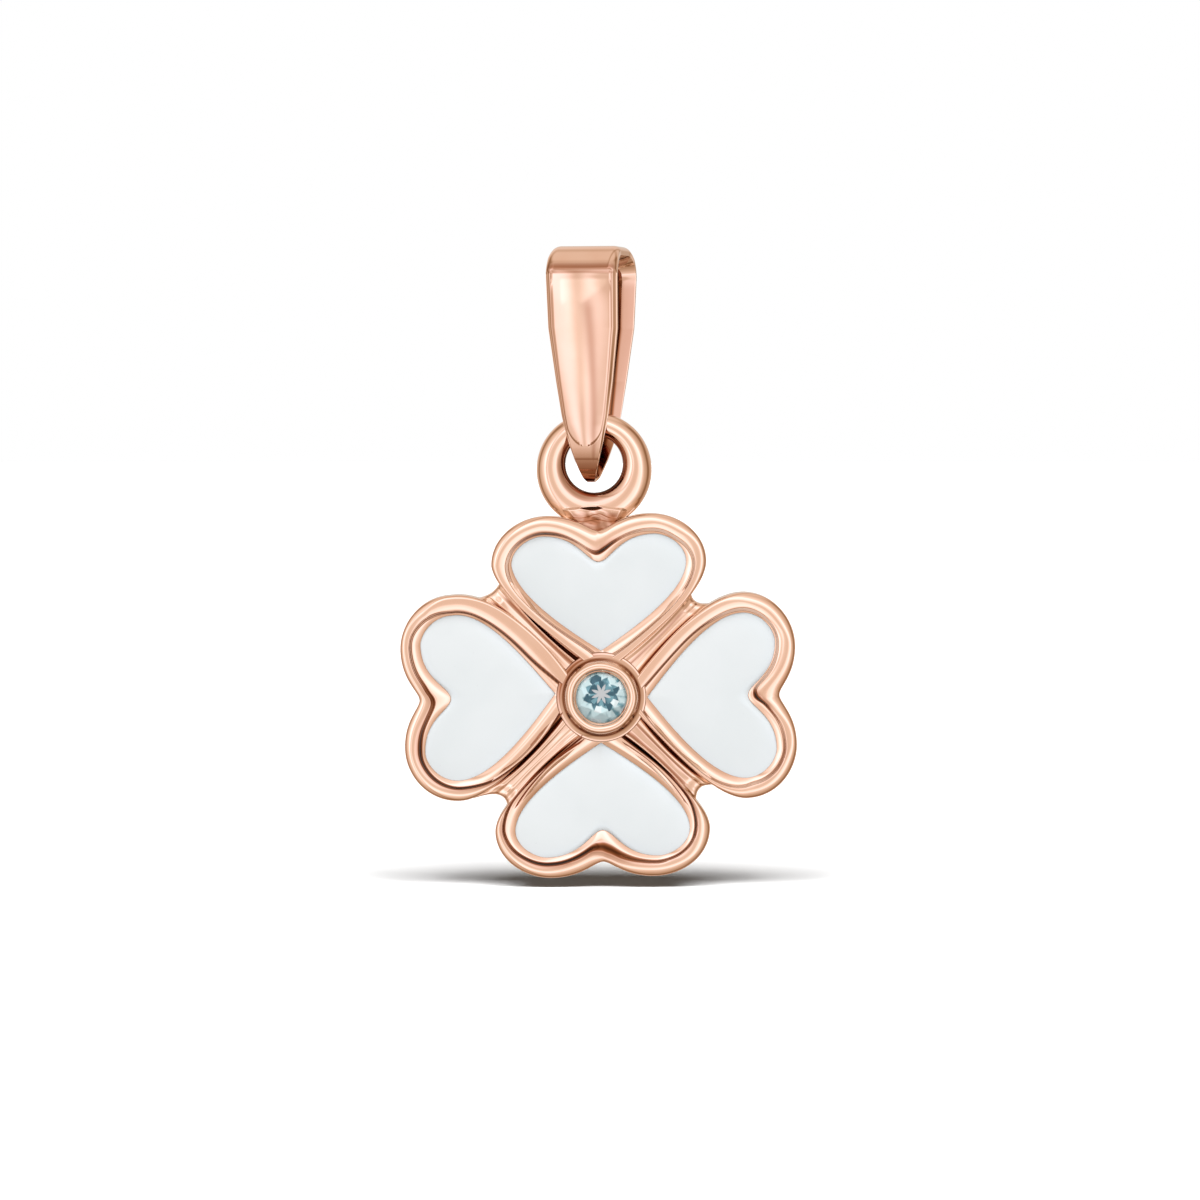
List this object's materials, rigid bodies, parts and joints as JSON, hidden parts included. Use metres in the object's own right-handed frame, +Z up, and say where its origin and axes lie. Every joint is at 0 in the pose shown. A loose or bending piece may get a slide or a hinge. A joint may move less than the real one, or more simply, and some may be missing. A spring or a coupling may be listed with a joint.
{
  "type": "four leaf clover pendant",
  "caption": "Four-leaf clover pendant of rose gold with white enamel hearts, a round pale blue stone in a bezel, and a tapered bail that it swings from.",
  "frame": {"origin": "inside top of the bail, in the middle of its strip, where the chain sits", "axes": "+Z up along the hanging pendant, -Y to the front of the clover, +X to the right as the wearer's viewer sees it"},
  "size_m": [0.0121, 0.0034, 0.0193],
  "materials": {
    "rose_gold": "polished",
    "white_enamel": "glossy",
    "pale_blue_stone": "polished"
  },
  "bodies": {
    "bail": {"bail": "rose_gold"},
    "clover": {"clover_frame": "rose_gold", "enamel_top": "white_enamel", "enamel_right": "white_enamel", "enamel_bottom": "white_enamel", "enamel_left": "white_enamel", "stone": "pale_blue_stone"}
  },
  "joints": [
    {"name": "clover_swing", "type": "hinge", "parent": "bail", "child": "clover", "pos_m": [0.00008, 0, -0.005], "axis": [1, 0, 0], "range_deg": [-35, 35]}
  ]
}
